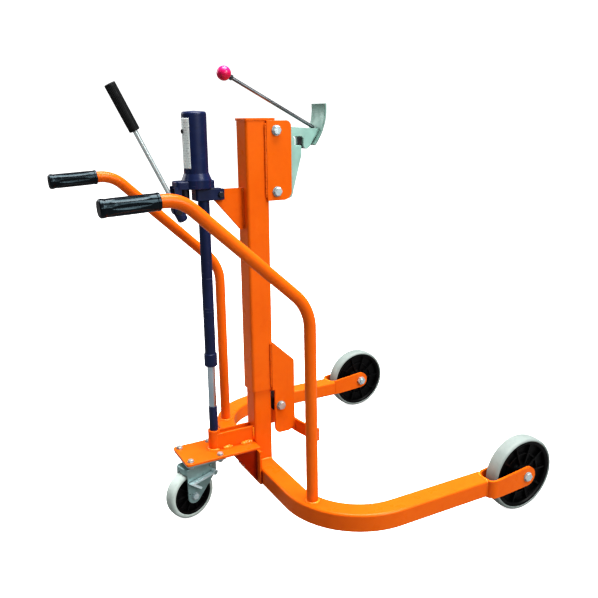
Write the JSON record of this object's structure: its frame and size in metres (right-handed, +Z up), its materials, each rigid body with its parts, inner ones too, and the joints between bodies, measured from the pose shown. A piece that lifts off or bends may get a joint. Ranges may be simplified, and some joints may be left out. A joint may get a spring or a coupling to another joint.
{
  "type": "drum truck",
  "caption": "Hydraulic drum truck with a forked tube base, a swivel caster, a mast raised by a hand pump and a hinged beak that grips the rim of a steel drum.",
  "frame": {"origin": "on the floor under the middle of the overall box", "axes": "+X forward towards the drum, +Y to the left of a person pushing the truck, +Z up"},
  "size_m": [1.1068, 0.867, 1.129],
  "materials": {
    "orange_paint": "gloss",
    "navy_paint": "satin",
    "zinc": "satin",
    "dark_steel": "satin",
    "chrome": "polished",
    "grey_tyre": "matte",
    "black_plastic": "satin",
    "black_grip": "satin",
    "red_knob": "gloss"
  },
  "bodies": {
    "chassis": {"left_leg_tube": "orange_paint", "right_leg_tube": "orange_paint", "wheel_yokes": "orange_paint", "wheel_axle_bolts": "zinc", "mast_post": "orange_paint", "mast_base_plate": "orange_paint", "caster_plate": "orange_paint", "caster_gussets": "orange_paint", "ram_socket": "orange_paint", "ram_strap": "orange_paint", "ram_foot": "navy_paint", "ram_rod": "chrome", "left_handle_tube": "orange_paint", "right_handle_tube": "orange_paint", "handle_grips": "black_grip", "caster_mounting_plate": "zinc", "caster_bolts": "zinc"},
    "carriage": {"lift_sleeve": "orange_paint", "sleeve_cap": "orange_paint", "left_upper_plate": "orange_paint", "right_upper_plate": "orange_paint", "left_lower_plate": "orange_paint", "right_lower_plate": "orange_paint", "backrest_bar": "orange_paint", "pump_bracket": "orange_paint", "clamp_cheeks": "zinc", "lower_jaw": "dark_steel", "clamp_bolts": "zinc", "roller_bolt": "zinc", "pump_casting": "navy_paint", "reservoir": "navy_paint", "filler_plug": "black_plastic", "pump_clamp_block": "navy_paint", "pump_clamp_bolt": "dark_steel", "cylinder_tube": "navy_paint", "cylinder_gland": "navy_paint", "plunger_barrel": "dark_steel", "lever_pivot_pin": "dark_steel"},
    "guide_roller": {"guide_roller": "dark_steel"},
    "beak": {"beak_side_plates": "zinc", "beak_tooth": "dark_steel", "beak_horn": "zinc", "beak_lever_rod": "zinc", "beak_knob": "red_knob"},
    "pump_lever": {"pump_rocker": "navy_paint", "pump_lever_rod": "zinc", "pump_lever_grip": "black_grip"},
    "plunger": {"pump_plunger": "chrome"},
    "release_valve": {"release_valve": "dark_steel"},
    "left_front_wheel": {"left_front_tyre": "grey_tyre", "left_front_hub": "black_plastic", "left_front_bush": "zinc"},
    "right_front_wheel": {"right_front_tyre": "grey_tyre", "right_front_hub": "black_plastic", "right_front_bush": "zinc"},
    "caster_swivel": {"caster_fork": "zinc", "caster_axle": "zinc"},
    "caster_wheel": {"caster_tyre": "grey_tyre", "caster_hub": "black_plastic"},
    "caster_brake": {"caster_brake_lever": "zinc"}
  },
  "joints": [
    {"name": "lift_slide", "type": "slide", "parent": "chassis", "child": "carriage", "axis": [0, 0, 1], "range_m": [-0.09, 0.15]},
    {"name": "guide_roller_spin", "type": "hinge", "parent": "carriage", "child": "guide_roller", "pos_m": [-0.0649, 0, 0.266], "axis": [0, 1, 0], "continuous": true},
    {"name": "beak_hinge", "type": "hinge", "parent": "carriage", "child": "beak", "pos_m": [-0.0646, 0, 0.981], "axis": [0, -1, 0], "range_deg": [0, 24]},
    {"name": "pump_lever_hinge", "type": "hinge", "parent": "carriage", "child": "pump_lever", "pos_m": [-0.3126, 0, 0.8], "axis": [0, -1, 0], "range_deg": [0, 55]},
    {"name": "plunger_slide", "type": "slide", "parent": "carriage", "child": "plunger", "axis": [0, 0, 1], "range_m": [0, 0.0196]},
    {"name": "release_valve_hinge", "type": "hinge", "parent": "carriage", "child": "release_valve", "pos_m": [-0.2596, 0.04, 0.86], "axis": [0, 1, 0], "range_deg": [0, 270]},
    {"name": "left_front_wheel_spin", "type": "hinge", "parent": "chassis", "child": "left_front_wheel", "pos_m": [0.4534, 0.394, 0.1], "axis": [0, 1, 0], "continuous": true},
    {"name": "right_front_wheel_spin", "type": "hinge", "parent": "chassis", "child": "right_front_wheel", "pos_m": [0.4534, -0.394, 0.1], "axis": [0, 1, 0], "continuous": true},
    {"name": "caster_swivel_hinge", "type": "hinge", "parent": "chassis", "child": "caster_swivel", "pos_m": [-0.2866, 0, 0.143], "axis": [0, 0, 1], "continuous": true},
    {"name": "caster_wheel_spin", "type": "hinge", "parent": "caster_swivel", "child": "caster_wheel", "pos_m": [-0.32234, -0.00958, 0.066], "axis": [-0.2588, 0.9659, 0], "continuous": true},
    {"name": "caster_brake_hinge", "type": "hinge", "parent": "caster_swivel", "child": "caster_brake", "pos_m": [-0.25759, -0.02328, 0.115], "axis": [0.2588, -0.9659, 0], "range_deg": [0, 6]}
  ],
  "couplings": [
    {"joint": "plunger_slide", "follows": "pump_lever_hinge", "m_per_rad": 0.0201},
    {"joint": "guide_roller_spin", "follows": "lift_slide", "rad_per_m": -44.053}
  ]
}
